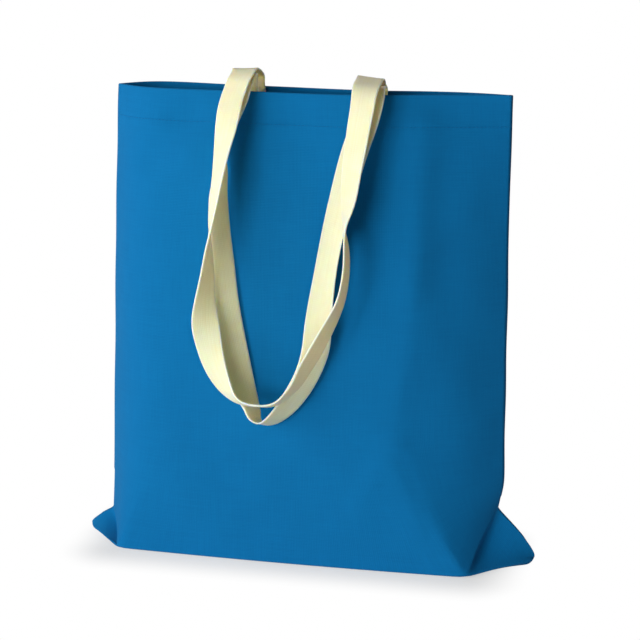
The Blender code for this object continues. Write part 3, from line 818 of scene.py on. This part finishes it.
def sewing_thread(name, hex_colour):
    """Spun polyester thread of two plies: a slight shine, and slanting grooves where the plies wind
    round each other, about one turn to a millimetre. The colour is darker along the grooves: painted
    shade."""
    made = bpy.data.materials.new(name)
    made.use_nodes = True
    tree = made.node_tree
    flat = add(tree, "ShaderNodeUVMap", uv_map="flat cut").outputs[0]
    parts = add(tree, "ShaderNodeSeparateXYZ", {"Vector": flat})
    slant = add(tree, "ShaderNodeMath", {0: parts.outputs[0], 1: parts.outputs[1]},
                operation="ADD").outputs[0]
    turn = add(tree, "ShaderNodeMath", {0: slant, 1: 2 * np.pi / thread_ply_pitch},
               operation="MULTIPLY").outputs[0]
    plies = add(tree, "ShaderNodeMath", {0: turn}, operation="SINE").outputs[0]
    # Darker along the grooves between the plies: painted shade.
    share = add(tree, "ShaderNodeMapRange", {"Value": plies, "From Min": -1.0, "From Max": 1.0,
                                             "To Min": 0.8}).outputs[0]
    colour = add(tree, "ShaderNodeMix", {"Factor": 1.0, "A": linear(hex_colour), "B": share},
                 data_type="RGBA", blend_type="MULTIPLY")
    shader = tree.nodes["Principled BSDF"]
    tree.links.new(colour.outputs[2], shader.inputs["Base Color"])
    bump = add(tree, "ShaderNodeBump", {"Height": plies, "Strength": 0.5, "Distance": 0.0001})
    tree.links.new(bump.outputs[0], shader.inputs["Normal"])
    shader.inputs["Roughness"].default_value = 0.7
    shader.inputs["Specular IOR Level"].default_value = 0.12
    return made


blue_thread = sewing_thread("blue_sewing_thread", thread_blue)
cream_thread = sewing_thread("cream_sewing_thread", thread_cream)

hem_row = int(np.argmin(abs(wall[:, 0, 2] - (bag_height - hem_depth + hem_stitch_margin))))
stitching("hem_stitching", [stitch_rows(wall[hem_row], wall_normals[hem_row], hem_stitch_pitch)],
          blue_thread)

box_half = strap_width / 2 - stitch_box_margin
box_corners = np.array(((-box_half, 0), (box_half, 0), (box_half, stitch_box_length),
                        (-box_half, stitch_box_length)))
box_strokes = ((0, 1), (1, 2), (2, 3), (3, 0), (0, 2), (1, 3))
places_in_stroke = 12
sewn = []
for route in (back_handle_route, front_handle_route):
    middle, width, out = strap_frame(route)
    far = lengths_along(middle)
    for start, onward in ((stitch_box_margin, 1), (far[-1] - stitch_box_margin, -1)):
        tail = np.argmin(abs(far - start))
        inward = out if out[tail, 1] * middle[tail, 1] <= 0 else -out
        for first, last in box_strokes:
            share = np.linspace(0, 1, places_in_stroke)[:, None]
            line = box_corners[first] * (1 - share) + box_corners[last] * share
            place = start + onward * line[:, 1]
            on = [np.stack([np.interp(place, far, values[:, k]) for k in range(3)], axis=-1)
                  for values in (middle, width, inward)]
            points_on = on[0] + on[1] * line[:, :1] + on[2] * strap_thickness / 2
            sewn.append(stitch_rows(points_on, on[2], stitch_box_pitch))
stitching("handle_stitching", sewn, cream_thread)

# Studio. A white sheet for a floor, a white surround, two soft lamps at the left front, and a weaker one
# behind. The camera sees the sheet as white, apart from the soft shadow that lies round the bag.
floor_size = 12.0
floor_gap = 0.0003
shadow_reach = 0.05
shadow_share = 0.5
room_light = 0.07
front_level = 0.63
side_level = 0.5
back_level = 0.35
paper_white = "#f0f0f0"
paper_white_seen = "#fdf9f3"

floor_mesh = bpy.data.meshes.new("floor")
half = floor_size / 2
floor_mesh.from_pydata([(-half, -half, -floor_gap), (half, -half, -floor_gap), (half, half, -floor_gap),
                        (-half, half, -floor_gap)], [], [(0, 1, 2, 3)])
floor = bpy.data.objects.new("floor", floor_mesh)
bpy.context.collection.objects.link(floor)
paper = bpy.data.materials.new("white_paper_sweep")
paper.use_nodes = True
tree = paper.node_tree


def seen_by_camera(tree):
    """1 on rays that the camera sees directly, by reflection or through glass, and 0 on the others."""
    rays = add(tree, "ShaderNodeLightPath")
    seen = add(tree, "ShaderNodeMath", {0: rays.outputs["Is Camera Ray"], 1: rays.outputs["Is Glossy Ray"]},
               operation="MAXIMUM").outputs[0]
    return add(tree, "ShaderNodeMath", {0: seen, 1: rays.outputs["Is Transmission Ray"]},
               operation="MAXIMUM").outputs[0]


seen = seen_by_camera(tree)
place = add(tree, "ShaderNodeTexCoord").outputs["Object"]
off_base = add(tree, "ShaderNodeVectorMath", {0: place}, operation="ABSOLUTE").outputs[0]
off_base = add(tree, "ShaderNodeVectorMath", {0: off_base, 1: (base_width / 2, base_depth / 2, 0)},
               operation="SUBTRACT").outputs[0]
off_base = add(tree, "ShaderNodeVectorMath", {0: off_base, 1: (0, 0, 0)}, operation="MAXIMUM").outputs[0]
distance = add(tree, "ShaderNodeVectorMath", {0: off_base}, operation="LENGTH").outputs["Value"]
white_share = add(tree, "ShaderNodeMapRange", {"Value": distance, "From Min": 0.0, "From Max": shadow_reach,
                                               "To Min": 1 - shadow_share, "To Max": 1.0},
                  interpolation_type="SMOOTHSTEP").outputs[0]
white_share = add(tree, "ShaderNodeMath", {0: seen, 1: white_share}, operation="MULTIPLY").outputs[0]
paper_colour = add(tree, "ShaderNodeMix", {"Factor": seen, "A": linear(paper_white),
                                           "B": linear(paper_white_seen)}, data_type="RGBA")
shader = tree.nodes["Principled BSDF"]
tree.links.new(paper_colour.outputs[2], shader.inputs["Base Color"])
shader.inputs["Roughness"].default_value = 0.95
shader.inputs["Specular IOR Level"].default_value = 0.0
white = add(tree, "ShaderNodeEmission", {"Color": (1, 1, 1, 1), "Strength": 1.0})
choice = add(tree, "ShaderNodeMixShader", {0: white_share, 1: shader.outputs[0], 2: white.outputs[0]})
tree.links.new(choice.outputs[0], tree.nodes["Material Output"].inputs["Surface"])
floor_mesh.materials.append(paper)

world = bpy.data.worlds.new("white_room")
bpy.context.scene.world = world
world.use_nodes = True
tree = world.node_tree
lit = tree.nodes["Background"]
lit.inputs["Color"].default_value = (1, 1, 1, 1)
lit.inputs["Strength"].default_value = room_light
backdrop = add(tree, "ShaderNodeBackground", {"Color": (1, 1, 1, 1), "Strength": 1.0})
choice = add(tree, "ShaderNodeMixShader", {0: seen_by_camera(tree), 1: lit.outputs[0],
                                           2: backdrop.outputs[0]})
tree.links.new(choice.outputs[0], tree.nodes["World Output"].inputs["Surface"])

# Each lamp: azimuth and elevation in degrees, metres away, its width, and the light that it gives an
# upright surface facing the camera's side of the bag, or the back of it, where 1 is full white.
for name, azimuth, elevation, away, size, facing, level in (
    ("front_soft_box", -15, 9, 2.2, 1.0, -1, front_level),
    ("side_soft_box", -60, 5, 2.4, 2.6, -1, side_level),
    ("back_soft_box", 165, 30, 2.6, 1.5, 1, back_level),
):
    azimuth, elevation = np.radians((azimuth, elevation))
    toward_lamp = Vector((np.sin(azimuth) * np.cos(elevation), -np.cos(azimuth) * np.cos(elevation),
                          np.sin(elevation)))
    lamp_data = bpy.data.lights.new(name, "AREA")
    lamp_data.shape = "SQUARE"
    lamp_data.size = size
    lamp_data.energy = level * np.pi**2 * away**2 / (facing * toward_lamp.y)
    lamp = bpy.data.objects.new(name, lamp_data)
    bpy.context.collection.objects.link(lamp)
    lamp.location = Vector((0, 0, bag_height / 2)) + toward_lamp * away
    lamp.rotation_euler = toward_lamp.to_track_quat("Z", "Y").to_euler()

bpy.context.scene.view_settings.view_transform = "Standard"
